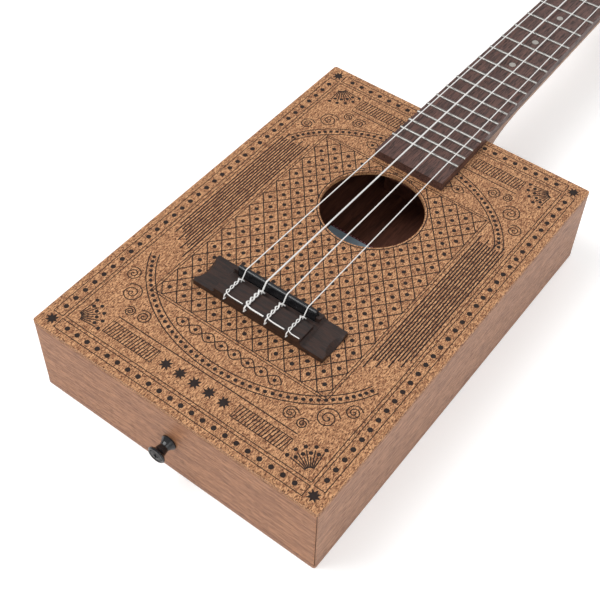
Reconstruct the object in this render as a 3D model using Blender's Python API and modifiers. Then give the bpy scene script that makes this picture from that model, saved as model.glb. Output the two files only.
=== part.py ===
# Box ukulele, concert scale: a flat wooden box body, a glued neck and four open geared tuners.
# Metres, +Z up. The origin is the middle of the box's back, which lies on the table.
# +X points to the treble side, +Y to the headstock and +Z out of the soundboard.

import math

import bmesh
import bpy
from mathutils import Matrix, Vector

MM = 0.001

# Fit
GAP = 0.3 * MM
RUNNING_GAP = 0.3 * MM

# Box
BOX_WIDTH = 176 * MM
BOX_LENGTH = 254 * MM
BOX_HEIGHT = 52 * MM
BOX_CORNER_RADIUS = 1.5 * MM
SIDE_THICKNESS = 4.5 * MM
TOP_THICKNESS = 2.4 * MM
BACK_THICKNESS = 2.8 * MM

# Sound hole
HOLE_RADIUS = 29 * MM
HOLE_FROM_NECK_END = 86.6 * MM

# Inside of the box
LINING_WIDTH = 5 * MM
LINING_HEIGHT = 6 * MM
NECK_BLOCK_WIDTH = 58 * MM
NECK_BLOCK_LENGTH = 22 * MM
TAIL_BLOCK_WIDTH = 54 * MM
TAIL_BLOCK_LENGTH = 12 * MM
BRACE_WIDTH = 6 * MM
BRACE_HEIGHT = 8 * MM
BRACE_FROM_HOLE = 6 * MM
BACK_BRACE_UPPER_Y = 4 * MM
BACK_BRACE_LOWER_Y = -66 * MM
PATCH_WIDTH = 104 * MM
PATCH_MARGIN = 5 * MM
PATCH_THICKNESS = 2 * MM
LABEL_WIDTH = 58 * MM
LABEL_LENGTH = 44 * MM
LABEL_THICKNESS = 0.4 * MM
LABEL_OFFSET_X = -7 * MM
LABEL_PAST_HOLE_CENTRE = 15.6 * MM

# Strings and scale
SCALE_LENGTH = 381 * MM
BODY_FRET = 14
FRET_COUNT = 18
MARKED_SPACES = (5, 7, 9)
STRING_DIAMETERS = (0.62 * MM, 0.91 * MM, 0.74 * MM, 0.58 * MM)
SPAN_AT_SADDLE = 39 * MM
SPAN_AT_NUT = 28.5 * MM

# Fretboard
BOARD_THICKNESS = 5.5 * MM
BOARD_PAST_LAST_FRET = 17 * MM
BOARD_WIDTH_AT_NUT = 35.2 * MM
BOARD_WIDTH_AT_END = 44.8 * MM
FRET_HEIGHT = 0.8 * MM
FRET_WIDTH = 1.6 * MM
MARKER_RADIUS = 2.1 * MM
MARKER_DEPTH = 1.2 * MM

# Nut
NUT_THICKNESS = 4.5 * MM
NUT_OVER_BOARD = 2.6 * MM
STRING_OVER_FRETS_AT_NUT = 0.6 * MM
NUT_SLOT_FALL = math.radians(8)

# Neck and headstock
NECK_DEPTH_AT_NUT = 13.0 * MM
NECK_DEPTH_AT_HEEL = 15.0 * MM
HEEL_DEPTH = 45 * MM
HEEL_LENGTH = 38 * MM
HEAD_TILT = math.radians(12)
HEAD_LENGTH = 108 * MM
HEAD_THICKNESS = 12.5 * MM
HEAD_WIDTH = 64 * MM
HEAD_SHOULDER = 26 * MM
HEAD_TIP_RADIUS = 15 * MM

# Bridge and saddle
BRIDGE_LENGTH = 82 * MM
BRIDGE_FRONT_OF_SADDLE = 3.2 * MM
BRIDGE_DEPTH = 21 * MM
WING_HEIGHT = 3.2 * MM
CENTRE_LENGTH = 54 * MM
CENTRE_HEIGHT = 6.8 * MM
CENTRE_FILLET = 1.4 * MM
LIP_HEIGHT = 5.6 * MM
TIE_BLOCK_DEPTH = 11.4 * MM
SADDLE_LENGTH = 48.6 * MM
SADDLE_THICKNESS = 3.0 * MM
SADDLE_SLOT_DEPTH = 1.7 * MM
SADDLE_OVER_SOUNDBOARD = 10.4 * MM
CHANNEL_FLOOR = 3.6 * MM
TIE_HOLE_HEIGHT = 4.6 * MM
TIE_HOLE_CLEARANCE = 0.35 * MM
COVE_RADIUS = 16 * MM
COVE_DEPTH = 2.2 * MM

# Strap button
BUTTON_HEAD_RADIUS = 5.2 * MM
BUTTON_NECK_RADIUS = 2.6 * MM
BUTTON_FOOT_RADIUS = 4.4 * MM
BUTTON_LENGTH = 10 * MM
BUTTON_BORE_RADIUS = 1.9 * MM
BUTTON_SCREW_RADIUS = 1.4 * MM
BUTTON_SCREW_LENGTH = 20 * MM

# Tuners, in the headstock's own frame
NEAR_POST = (17.5 * MM, 38 * MM)
FAR_POST = (20.5 * MM, 74 * MM)
POST_RADIUS = 3.0 * MM
POST_WAIST_RADIUS = 2.5 * MM
POST_HEIGHT = 13.5 * MM
POST_TENON_RADIUS = 2.0 * MM
POST_HOLE_RADIUS = 0.8 * MM
BUSHING_RADIUS = 4.2 * MM
BUSHING_FLANGE_RADIUS = 5.6 * MM
BUSHING_FLANGE_HEIGHT = 1.3 * MM
PLATE_THICKNESS = 1.0 * MM
PLATE_HALF_WIDTH = 7.2 * MM
PLATE_PAST_POST = 7.4 * MM
EAR_THICKNESS = 1.1 * MM
EAR_HALF_WIDTH = 2.7 * MM
GEAR_MODULE = 0.6 * MM
GEAR_TEETH = 14
GEAR_THICKNESS = 3.0 * MM
GEAR_UNDER_PLATE = 1.4 * MM
WORM_PITCH_RADIUS = 2.0 * MM
WORM_LENGTH = 8.0 * MM
SHAFT_RADIUS = 1.2 * MM
ADDENDUM = 0.55 * MM
DEDENDUM = 0.75 * MM
TOOTH_AT_TIP = 0.36 * MM
TOOTH_AT_ROOT = 1.04 * MM
KNOB_LENGTH = 13 * MM
KNOB_WIDTH = 16 * MM
KNOB_THICKNESS = 8.5 * MM
KNOB_FROM_HEAD_EDGE = 3.5 * MM

# Tails of the knots along the tie block
TAIL_FROM_NEXT_KNOT = 2.2 * MM
LAST_TAIL = 7 * MM

# Windings of the strings on their posts
WINDING_TURNS = 2.75
WINDING_START = 5.0 * MM
WINDING_GAP = 0.5 * MM
WINDING_TAIL = 2.4 * MM
POINTS_PER_LOOP = 24

# Worked out from the sizes above
HALF_WIDTH = BOX_WIDTH / 2
HALF_LENGTH = BOX_LENGTH / 2
SIDE_LOW = BACK_THICKNESS + GAP
SIDE_HIGH = BOX_HEIGHT - TOP_THICKNESS - GAP
TOP_UNDERSIDE = BOX_HEIGHT - TOP_THICKNESS
INNER_HALF_WIDTH = HALF_WIDTH - SIDE_THICKNESS
INNER_HALF_LENGTH = HALF_LENGTH - SIDE_THICKNESS
HOLE_Y = HALF_LENGTH - HOLE_FROM_NECK_END
BOARD_BOTTOM = BOX_HEIGHT + GAP
BOARD_TOP = BOARD_BOTTOM + BOARD_THICKNESS
FRET_TOP = BOARD_TOP + FRET_HEIGHT
SADDLE_Y = HALF_LENGTH - SCALE_LENGTH * 2 ** (-BODY_FRET / 12)
NUT_Y = SADDLE_Y + SCALE_LENGTH
BRIDGE_FRONT = SADDLE_Y + BRIDGE_FRONT_OF_SADDLE
BRIDGE_BACK = BRIDGE_FRONT - BRIDGE_DEPTH
SADDLE_TOP = BOX_HEIGHT + SADDLE_OVER_SOUNDBOARD
HEAD_ORIGIN = Vector((0, NUT_Y + NUT_THICKNESS + GAP, BOX_HEIGHT))
GEAR_RADIUS = GEAR_MODULE * GEAR_TEETH / 2
AXES_APART = GEAR_RADIUS + WORM_PITCH_RADIUS
WORM_PITCH = math.pi * GEAR_MODULE
PLATE_TOP = -HEAD_THICKNESS - GAP
PLATE_LOW = PLATE_TOP - PLATE_THICKNESS
GEAR_TOP = PLATE_LOW - GEAR_UNDER_PLATE
WORM_Z = GEAR_TOP - GEAR_THICKNESS / 2
EAR_INNER = WORM_LENGTH / 2 + RUNNING_GAP
EAR_OUTER = EAR_INNER + EAR_THICKNESS

STRING_NAMES = ("g", "c", "e", "a")
TUNER_NAMES = ("g", "c", "e", "a")
TUNER_SIDES = (-1, -1, 1, 1)
TUNER_POSTS = (NEAR_POST, FAR_POST, FAR_POST, NEAR_POST)


# Scene and collections

def clear_scene():
    for item in list(bpy.data.objects):
        bpy.data.objects.remove(item, do_unlink=True)


def new_collection(name):
    collection = bpy.data.collections.new(name)
    bpy.context.scene.collection.children.link(collection)
    return collection


clear_scene()
PARTS = new_collection("box_ukulele")
CUTTERS = new_collection("cutters")


# Materials

def material(name, colour, roughness, metallic=0.0):
    made = bpy.data.materials.new(name)
    made.use_nodes = True
    shader = made.node_tree.nodes["Principled BSDF"]
    shader.inputs["Base Color"].default_value = (*colour, 1.0)
    shader.inputs["Roughness"].default_value = roughness
    shader.inputs["Metallic"].default_value = metallic
    return made


COLOURS = {
    "soundboard": ((0.50, 0.30, 0.17), 0.6, 0.0),
    "side_wood": ((0.46, 0.30, 0.22), 0.6, 0.0),
    "inner_wood": ((0.60, 0.45, 0.28), 0.8, 0.0),
    "neck_wood": ((0.42, 0.25, 0.16), 0.5, 0.0),
    "board_wood": ((0.11, 0.055, 0.04), 0.5, 0.0),
    "bridge_wood": ((0.06, 0.04, 0.035), 0.5, 0.0),
    "black": ((0.012, 0.012, 0.014), 0.25, 0.0),
    "marker": ((0.72, 0.70, 0.66), 0.3, 0.0),
    "label": ((0.62, 0.72, 0.80), 0.8, 0.0),
    "nylon": ((0.85, 0.84, 0.82), 0.3, 0.0),
    "steel": ((0.62, 0.62, 0.62), 0.25, 1.0),
    "brass": ((0.70, 0.52, 0.26), 0.3, 1.0),
}


# Mesh helpers

def link(item, parent=None, colour=None):
    PARTS.objects.link(item)
    item.parent = parent
    if colour:
        values = COLOURS[colour]
        item.data.materials.append(material(item.name, *values))
    return item


def as_cutter(item):
    item.display_type = "WIRE"
    item.hide_render = True
    return item


def add_cutter(item, parent=None):
    CUTTERS.objects.link(item)
    item.parent = parent
    return as_cutter(item)


def empty(name, location, rotation=(0, 0, 0), parent=None):
    item = bpy.data.objects.new(name, None)
    PARTS.objects.link(item)
    item.location = location
    item.rotation_euler = rotation
    item.parent = parent
    return item


def mesh_item(name, bm):
    mesh = bpy.data.meshes.new(name)
    bm.to_mesh(mesh)
    bm.free()
    return bpy.data.objects.new(name, mesh)


def block(name, low, high):
    """A box between two corners, placed by its centre."""
    low = Vector(low)
    high = Vector(high)
    bm = bmesh.new()
    bmesh.ops.create_cube(bm, size=1.0)
    bmesh.ops.scale(bm, vec=high - low, verts=bm.verts)
    item = mesh_item(name, bm)
    item.location = (low + high) / 2
    return item


def cylinder(name, radius, length, segments=24, axis="Z"):
    """A cylinder centred on its own origin, along the named axis."""
    bm = bmesh.new()
    bmesh.ops.create_cone(
        bm, cap_ends=True, segments=segments, radius1=radius, radius2=radius, depth=length
    )
    turn = {"X": Matrix.Rotation(math.pi / 2, 4, "Y"), "Y": Matrix.Rotation(-math.pi / 2, 4, "X")}
    if axis in turn:
        bmesh.ops.transform(bm, matrix=turn[axis], verts=bm.verts)
    return mesh_item(name, bm)


def curve_to_mesh(item):
    """A welded mesh object in the place of a curve object."""
    bpy.context.scene.collection.objects.link(item)
    bpy.context.view_layer.update()
    graph = bpy.context.evaluated_depsgraph_get()
    mesh = bpy.data.meshes.new_from_object(item.evaluated_get(graph))
    made = bpy.data.objects.new(item.name, mesh)
    made.matrix_world = item.matrix_world
    name = item.name
    bpy.data.objects.remove(item, do_unlink=True)
    made.name = name
    bm = bmesh.new()
    bm.from_mesh(mesh)
    bmesh.ops.remove_doubles(bm, verts=bm.verts, dist=1e-6)
    bm.to_mesh(mesh)
    bm.free()
    return made


def outline_item(name, points, thickness):
    """A flat outline in its own XY plane, centred on it and thickened both ways along Z."""
    curve = bpy.data.curves.new(name, "CURVE")
    curve.dimensions = "2D"
    curve.fill_mode = "BOTH"
    curve.extrude = thickness / 2
    spline = curve.splines.new("POLY")
    spline.points.add(len(points) - 1)
    for place, point in zip(spline.points, points):
        place.co = (point[0], point[1], 0, 1)
    spline.use_cyclic_u = True
    return curve_to_mesh(bpy.data.objects.new(name, curve))


def tube_item(name, points, radius, resolution=1):
    curve = bpy.data.curves.new(name, "CURVE")
    curve.dimensions = "3D"
    curve.bevel_depth = radius
    curve.bevel_resolution = resolution
    curve.use_fill_caps = True
    spline = curve.splines.new("POLY")
    spline.points.add(len(points) - 1)
    for place, point in zip(spline.points, points):
        place.co = (*point, 1)
    return curve_to_mesh(bpy.data.objects.new(name, curve))


def turned_item(name, profile, steps=20):
    """A profile of (radius, height) pairs, listed from the top down, turned about Z."""
    mesh = bpy.data.meshes.new(name)
    places = [(radius, 0, height) for radius, height in profile]
    edges = [(i, i + 1) for i in range(len(places) - 1)]
    mesh.from_pydata(places, edges, [])
    item = bpy.data.objects.new(name, mesh)
    turn = item.modifiers.new("turn", "SCREW")
    turn.axis = "Z"
    turn.steps = steps
    turn.render_steps = steps
    turn.use_merge_vertices = True
    turn.merge_threshold = 1e-5
    return item


def combine(item, other, operation):
    change = item.modifiers.new(operation.lower(), "BOOLEAN")
    change.operation = operation
    change.object = other
    change.solver = "EXACT"


def cut(item, cutter):
    combine(item, cutter, "DIFFERENCE")


def join(item, other):
    combine(item, other, "UNION")


def smooth(item, degrees=35):
    item.data.shade_smooth()
    item.data.set_sharp_from_angle(angle=math.radians(degrees))


def mixed(low, high, share):
    return low + (high - low) * share


def arc(centre, radius, start, end, steps):
    """Points on an arc, angles in degrees."""
    angles = [math.radians(mixed(start, end, i / steps)) for i in range(steps + 1)]
    return [
        (centre[0] + radius * math.cos(a), centre[1] + radius * math.sin(a)) for a in angles
    ]


# The box

def rounded_rectangle(half_x, half_y, radius, steps=4):
    corners = (
        ((half_x - radius, half_y - radius), 0),
        ((radius - half_x, half_y - radius), 90),
        ((radius - half_x, radius - half_y), 180),
        ((half_x - radius, radius - half_y), 270),
    )
    points = []
    for centre, start in corners:
        points += arc(centre, radius, start, start + 90, steps)
    return points


def panel(name, thickness, low, colour):
    outline = rounded_rectangle(HALF_WIDTH, HALF_LENGTH, BOX_CORNER_RADIUS)
    item = outline_item(name, outline, thickness)
    item.location = (0, 0, low + thickness / 2)
    return link(item, colour=colour)


def side_outline(half_across, half_along):
    """A side board seen from above, mitred at both ends, its outer face along +X."""
    mitre = GAP / math.sqrt(2)
    inner = half_across - SIDE_THICKNESS
    inner_end = half_along - SIDE_THICKNESS - mitre
    centre = (half_across - BOX_CORNER_RADIUS, half_along - BOX_CORNER_RADIUS - mitre)
    low_centre = (centre[0], -centre[1])
    points = [(inner, inner_end), (inner, -inner_end)]
    points += arc(low_centre, BOX_CORNER_RADIUS, -45, 0, 3)
    points += arc(centre, BOX_CORNER_RADIUS, 0, 45, 3)
    return points


def side_board(name, half_across, half_along, turn):
    height = SIDE_HIGH - SIDE_LOW
    item = outline_item(name, side_outline(half_across, half_along), height)
    item.rotation_euler = (0, 0, turn)
    item.location = (0, 0, (SIDE_HIGH + SIDE_LOW) / 2)
    return link(item, colour="side_wood")


def build_box():
    soundboard = panel("soundboard", TOP_THICKNESS, TOP_UNDERSIDE, "soundboard")
    hole = cylinder("sound_hole_cutter", HOLE_RADIUS, 4 * TOP_THICKNESS, segments=72)
    hole.location = (0, HOLE_Y, BOX_HEIGHT - TOP_THICKNESS / 2)
    cut(soundboard, add_cutter(hole))
    panel("back", BACK_THICKNESS, 0, "side_wood")
    side_board("side_treble", HALF_WIDTH, HALF_LENGTH, 0)
    side_board("side_neck", HALF_LENGTH, HALF_WIDTH, math.pi / 2)
    side_board("side_bass", HALF_WIDTH, HALF_LENGTH, math.pi)
    tail = side_board("side_tail", HALF_LENGTH, HALF_WIDTH, -math.pi / 2)
    screw_hole = cylinder("side_screw_cutter", BUTTON_SCREW_RADIUS + GAP, 30 * MM, 16, "Y")
    screw_hole.location = (0, -INNER_HALF_LENGTH, BOX_HEIGHT / 2)
    cut(tail, add_cutter(screw_hole))


def inner(name, low, high):
    return link(block(name, low, high), colour="inner_wood")


def build_blocks():
    low = SIDE_LOW
    high = SIDE_HIGH
    neck_high = INNER_HALF_LENGTH - GAP
    inner(
        "neck_block",
        (-NECK_BLOCK_WIDTH / 2, neck_high - NECK_BLOCK_LENGTH, low),
        (NECK_BLOCK_WIDTH / 2, neck_high, high),
    )
    tail_low = GAP - INNER_HALF_LENGTH
    tail_block = inner(
        "tail_block",
        (-TAIL_BLOCK_WIDTH / 2, tail_low, low),
        (TAIL_BLOCK_WIDTH / 2, tail_low + TAIL_BLOCK_LENGTH, high),
    )
    screw_hole = cylinder("block_screw_cutter", BUTTON_SCREW_RADIUS + GAP, 2 * BUTTON_SCREW_LENGTH, 16, "Y")
    screw_hole.location = (0, -HALF_LENGTH, BOX_HEIGHT / 2)
    cut(tail_block, add_cutter(screw_hole))


def build_linings():
    length = INNER_HALF_LENGTH - GAP
    outer = INNER_HALF_WIDTH - GAP
    for name, side in (("bass", -1), ("treble", 1)):
        near, far = sorted((side * (outer - LINING_WIDTH), side * outer))
        inner(f"lining_top_{name}", (near, -length, SIDE_HIGH - LINING_HEIGHT), (far, length, SIDE_HIGH))
        inner(f"lining_back_{name}", (near, -length, SIDE_LOW), (far, length, SIDE_LOW + LINING_HEIGHT))


def build_braces():
    reach = INNER_HALF_WIDTH - LINING_WIDTH - 2 * GAP
    high = TOP_UNDERSIDE - GAP
    past = HOLE_RADIUS + BRACE_FROM_HOLE
    for name, start in (("upper", HOLE_Y + past), ("lower", HOLE_Y - past - BRACE_WIDTH)):
        inner(
            f"top_brace_{name}",
            (-reach, start, high - BRACE_HEIGHT),
            (reach, start + BRACE_WIDTH, high),
        )
    low = BACK_THICKNESS + GAP
    for name, middle in (("upper", BACK_BRACE_UPPER_Y), ("lower", BACK_BRACE_LOWER_Y)):
        inner(
            f"back_brace_{name}",
            (-reach, middle - BRACE_WIDTH / 2, low),
            (reach, middle + BRACE_WIDTH / 2, low + BRACE_HEIGHT),
        )
    inner(
        "bridge_patch",
        (-PATCH_WIDTH / 2, BRIDGE_BACK - PATCH_MARGIN, high - PATCH_THICKNESS),
        (PATCH_WIDTH / 2, BRIDGE_FRONT + PATCH_MARGIN, high),
    )


def build_label():
    top = HOLE_Y + LABEL_PAST_HOLE_CENTRE
    low = BACK_THICKNESS + GAP
    item = block(
        "label",
        (LABEL_OFFSET_X - LABEL_WIDTH / 2, top - LABEL_LENGTH, low),
        (LABEL_OFFSET_X + LABEL_WIDTH / 2, top, low + LABEL_THICKNESS),
    )
    link(item, colour="label")


# The strap button

def build_strap_button():
    foot = -HALF_LENGTH - GAP
    length = BUTTON_LENGTH
    profile = [
        (BUTTON_BORE_RADIUS, length - 2.2 * MM),
        (BUTTON_BORE_RADIUS + 2.2 * MM, length),
        (BUTTON_HEAD_RADIUS - 0.6 * MM, length),
        (BUTTON_HEAD_RADIUS, length - 0.7 * MM),
        (BUTTON_HEAD_RADIUS - 0.5 * MM, length - 1.5 * MM),
        (BUTTON_HEAD_RADIUS * 0.62, length * 0.72),
        (BUTTON_NECK_RADIUS + 0.3 * MM, length * 0.52),
        (BUTTON_NECK_RADIUS, length * 0.4),
        (BUTTON_NECK_RADIUS + 0.5 * MM, length * 0.26),
        (BUTTON_FOOT_RADIUS - 0.5 * MM, length * 0.14),
        (BUTTON_FOOT_RADIUS, length * 0.07),
        (BUTTON_FOOT_RADIUS, 0),
        (BUTTON_BORE_RADIUS, 0),
        (BUTTON_BORE_RADIUS, length - 2.2 * MM),
    ]
    button = link(turned_item("strap_button", profile, 24), colour="black")
    button.location = (0, foot, BOX_HEIGHT / 2)
    button.rotation_euler = (math.pi / 2, 0, 0)
    smooth(button)
    build_strap_screw(foot)


def build_strap_screw(foot):
    head_low = BUTTON_LENGTH - 2.2 * MM + GAP
    profile = [
        (0, BUTTON_LENGTH + 0.2 * MM),
        (2.4 * MM, BUTTON_LENGTH - 0.1 * MM),
        (3.4 * MM, BUTTON_LENGTH - 0.2 * MM),
        (BUTTON_SCREW_RADIUS, head_low),
        (BUTTON_SCREW_RADIUS, BUTTON_LENGTH - BUTTON_SCREW_LENGTH - 2 * MM),
        (0, BUTTON_LENGTH - BUTTON_SCREW_LENGTH - 4 * MM),
    ]
    screw = link(turned_item("strap_button_screw", profile, 16), colour="black")
    screw.location = (0, foot, BOX_HEIGHT / 2)
    screw.rotation_euler = (math.pi / 2, 0, 0)
    slot_depth = 1.0 * MM
    for name, size in (("a", (3.4 * MM, 0.8 * MM)), ("b", (0.8 * MM, 3.4 * MM))):
        slot = block(
            f"screw_slot_{name}",
            (-size[0] / 2, -slot_depth, -size[1] / 2),
            (size[0] / 2, slot_depth, size[1] / 2),
        )
        slot.location = (0, foot - BUTTON_LENGTH, BOX_HEIGHT / 2)
        cut(screw, add_cutter(slot))


# Bridge and saddle

def string_x(index, span):
    return span * (index / 3 - 0.5)


def bridge_outline():
    """The bridge seen from the front: two low wings and a raised centre."""
    end = (BRIDGE_LENGTH / 2, 0)
    tip = (BRIDGE_LENGTH / 2, WING_HEIGHT)
    foot = (CENTRE_LENGTH / 2 + CENTRE_FILLET, WING_HEIGHT)
    shoulder = (CENTRE_LENGTH / 2, WING_HEIGHT + CENTRE_FILLET)
    top = (CENTRE_LENGTH / 2, CENTRE_HEIGHT)
    half = [end, tip, foot, shoulder, top]
    return half + [(-x, z) for x, z in reversed(half)]


def build_bridge():
    bottom = BOX_HEIGHT + GAP
    bridge = outline_item("bridge", bridge_outline(), BRIDGE_DEPTH)
    bridge.rotation_euler = (math.pi / 2, 0, 0)
    bridge.location = (0, BRIDGE_FRONT - BRIDGE_DEPTH / 2, bottom)
    link(bridge, colour="bridge_wood")
    cut_channel(bridge, bottom)
    cut_saddle_slot(bridge, bottom)
    cut_tie_holes(bridge, bottom)
    cut_coves(bridge, bottom)


def cut_channel(bridge, bottom):
    """The trough behind the saddle, open at both ends, and the lower lip in front of it."""
    high = bottom + 2 * CENTRE_HEIGHT
    channel = block(
        "bridge_channel",
        (-CENTRE_LENGTH, BRIDGE_BACK + TIE_BLOCK_DEPTH, bottom + CHANNEL_FLOOR),
        (CENTRE_LENGTH, SADDLE_Y - SADDLE_THICKNESS / 2, high),
    )
    cut(bridge, add_cutter(channel))
    lip = block(
        "bridge_front_lip",
        (-CENTRE_LENGTH, SADDLE_Y, bottom + LIP_HEIGHT),
        (CENTRE_LENGTH, BRIDGE_FRONT + SADDLE_THICKNESS, high),
    )
    cut(bridge, add_cutter(lip))


def cut_saddle_slot(bridge, bottom):
    half = SADDLE_LENGTH / 2 + GAP
    width = SADDLE_THICKNESS / 2 + GAP
    slot = block(
        "saddle_slot",
        (-half, SADDLE_Y - width, bottom + CHANNEL_FLOOR - SADDLE_SLOT_DEPTH),
        (half, SADDLE_Y + width, bottom + 2 * CENTRE_HEIGHT),
    )
    cut(bridge, add_cutter(slot))


def cut_tie_holes(bridge, bottom):
    for index, name in enumerate(STRING_NAMES):
        radius = STRING_DIAMETERS[index] / 2 + TIE_HOLE_CLEARANCE
        hole = cylinder(f"tie_hole_{name}", radius, 4 * TIE_BLOCK_DEPTH, 12, "Y")
        hole.location = (string_x(index, SPAN_AT_SADDLE), BRIDGE_BACK, bottom + TIE_HOLE_HEIGHT)
        hole.location.y += TIE_BLOCK_DEPTH - 1.95 * TIE_BLOCK_DEPTH
        cut(bridge, add_cutter(hole))


def cut_coves(bridge, bottom):
    """The hollow sanded into each wing's end, deepest in the middle of the end."""
    slope = math.radians(48)
    for name, side in (("bass", -1), ("treble", 1)):
        drum = cylinder(f"cove_{name}", COVE_RADIUS, 60 * MM, 48, "X")
        away = COVE_RADIUS - COVE_DEPTH
        edge = Vector((side * BRIDGE_LENGTH / 2, 0, bottom + WING_HEIGHT))
        outward = Vector((side * math.sin(slope), 0, math.cos(slope)))
        drum.rotation_euler = (0, side * slope, 0)
        drum.location = edge + outward * away
        drum.location.y = BRIDGE_FRONT - BRIDGE_DEPTH / 2
        cut(bridge, add_cutter(drum))


def build_saddle():
    half = SADDLE_THICKNESS / 2
    low = BOX_HEIGHT + GAP + CHANNEL_FLOOR - SADDLE_SLOT_DEPTH + GAP
    outline = [(-half, low), (half, low)]
    outline += arc((0, SADDLE_TOP - half), half, 0, 180, 8)
    saddle = outline_item("saddle", outline, SADDLE_LENGTH)
    saddle.rotation_euler = (math.pi / 2, 0, math.pi / 2)
    saddle.location = (0, SADDLE_Y, 0)
    link(saddle, colour="black")
    smooth(saddle)


# Neck, headstock, fretboard and nut

def fret_y(number):
    return SADDLE_Y + SCALE_LENGTH * 2 ** (-number / 12)


BOARD_END = fret_y(FRET_COUNT) - BOARD_PAST_LAST_FRET


def board_width(y):
    share = (y - BOARD_END) / (NUT_Y - BOARD_END)
    return mixed(BOARD_WIDTH_AT_END, BOARD_WIDTH_AT_NUT, share)


def loft(name, sections):
    """Skins rings of points of equal count, closing both ends."""
    bm = bmesh.new()
    rings = [[bm.verts.new(point) for point in section] for section in sections]
    count = len(rings[0])
    for before, after in zip(rings, rings[1:]):
        for i in range(count):
            j = (i + 1) % count
            bm.faces.new((before[i], after[i], after[j], before[j]))
    bm.faces.new(rings[0])
    bm.faces.new(reversed(rings[-1]))
    bmesh.ops.recalc_face_normals(bm, faces=bm.faces)
    return mesh_item(name, bm)


def neck_section(y, width, depth, top, power):
    """A flat top over a rounded underside."""
    steps = 14
    points = []
    for i in range(steps + 1):
        angle = math.pi * i / steps
        across = math.cos(angle)
        down = math.sin(angle) ** (2 / power)
        x = width / 2 * math.copysign(abs(across) ** (2 / power), across)
        points.append((x, y, top - depth * down))
    return points


def neck_depth(y):
    start = HALF_LENGTH + GAP
    share = (y - start) / (NUT_Y - start)
    plain = mixed(NECK_DEPTH_AT_HEEL, NECK_DEPTH_AT_NUT, share)
    into_heel = max(0.0, 1 - (y - start) / HEEL_LENGTH)
    return plain + (HEEL_DEPTH - plain) * (1 - math.sqrt(1 - into_heel ** 2))


def neck_stations():
    start = HALF_LENGTH + GAP
    heel = [start + HEEL_LENGTH * (1 - math.cos(i * math.pi / 20)) for i in range(11)]
    shaft_start = heel[-1]
    shaft = [mixed(shaft_start, HEAD_ORIGIN.y, i / 4) for i in range(1, 5)]
    return heel + shaft + [HEAD_ORIGIN.y + 6 * MM]


def build_neck(head):
    sections = []
    start = HALF_LENGTH + GAP
    for y in neck_stations():
        into_heel = max(0.0, 1 - (y - start) / HEEL_LENGTH)
        past_nut = max(0.0, y - HEAD_ORIGIN.y)
        top = BOX_HEIGHT - past_nut * math.tan(HEAD_TILT)
        depth = neck_depth(y) - past_nut * (1 - math.tan(HEAD_TILT)) * 0.3
        sections.append(neck_section(y, board_width(y), depth, top, 2.0 + 0.8 * into_heel))
    neck = link(loft("neck", sections), colour="neck_wood")
    smooth(neck)
    blank = outline_item("headstock_blank", head_outline(), HEAD_THICKNESS)
    blank.location = (0, 0, -HEAD_THICKNESS / 2)
    join(neck, add_cutter(blank, head))
    for name, side, place in zip(TUNER_NAMES, TUNER_SIDES, TUNER_POSTS):
        hole = cylinder(f"post_hole_{name}", BUSHING_RADIUS + GAP, 4 * HEAD_THICKNESS, 24)
        hole.location = (side * place[0], place[1], 0)
        cut(neck, add_cutter(hole, head))


def head_half_width(y):
    """The headstock widens from the nut over its shoulders, then runs on nearly straight."""
    start = board_width(HEAD_ORIGIN.y) / 2
    share = min(1.0, max(0.0, y / HEAD_SHOULDER))
    eased = share * share * (3 - 2 * share)
    return mixed(start, HEAD_WIDTH / 2 - 1.5 * MM, eased) + 1.5 * MM * y / HEAD_LENGTH


def head_outline():
    start = 0.4 * MM
    stations = [mixed(start, HEAD_SHOULDER, i / 8) for i in range(9)]
    edge = [(head_half_width(y), y) for y in stations]
    centre = (head_half_width(HEAD_LENGTH) - HEAD_TIP_RADIUS, HEAD_LENGTH - HEAD_TIP_RADIUS)
    edge += arc(centre, HEAD_TIP_RADIUS, 0, 80, 8)
    return edge + [(-x, y) for x, y in reversed(edge)]


def build_fretboard():
    outline = [(BOARD_END, BOARD_TOP), (BOARD_END, BOARD_BOTTOM)]
    outline += [(NUT_Y - GAP, BOARD_BOTTOM), (NUT_Y - GAP, BOARD_TOP)]
    for number in range(1, FRET_COUNT + 1):
        outline += fret_profile(fret_y(number))
    board = outline_item("fretboard", outline, 2 * BOARD_WIDTH_AT_END)
    board.rotation_euler = (math.pi / 2, 0, math.pi / 2)
    link(board, colour="board_wood")
    taper = [
        (-BOARD_WIDTH_AT_END / 2, BOARD_END - GAP),
        (BOARD_WIDTH_AT_END / 2, BOARD_END - GAP),
        (BOARD_WIDTH_AT_NUT / 2, NUT_Y),
        (-BOARD_WIDTH_AT_NUT / 2, NUT_Y),
    ]
    plan = outline_item("fretboard_plan", taper, 40 * MM)
    plan.location = (0, 0, BOARD_TOP)
    combine(board, add_cutter(plan), "INTERSECT")
    for space in MARKED_SPACES:
        build_marker(board, space)


def fret_profile(y):
    """A fret's crown, from its nut side to its bridge side."""
    rise = ((0.5, 0.0), (0.38, 0.66), (0.0, 1.0), (-0.38, 0.66), (-0.5, 0.0))
    return [(y + along * FRET_WIDTH, BOARD_TOP + up * FRET_HEIGHT) for along, up in rise]


def build_marker(board, space):
    y = (fret_y(space) + fret_y(space - 1)) / 2
    depth = MARKER_DEPTH + GAP
    recess = cylinder(f"marker_recess_{space}", MARKER_RADIUS + GAP, 2 * depth, 20)
    recess.location = (0, y, BOARD_TOP)
    cut(board, add_cutter(recess))
    marker = cylinder(f"marker_{space}", MARKER_RADIUS, MARKER_DEPTH, 20)
    marker.location = (0, y, BOARD_TOP - MARKER_DEPTH / 2)
    link(marker, colour="marker")


def nut_slot_floor():
    return FRET_TOP + STRING_OVER_FRETS_AT_NUT - GAP


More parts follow.
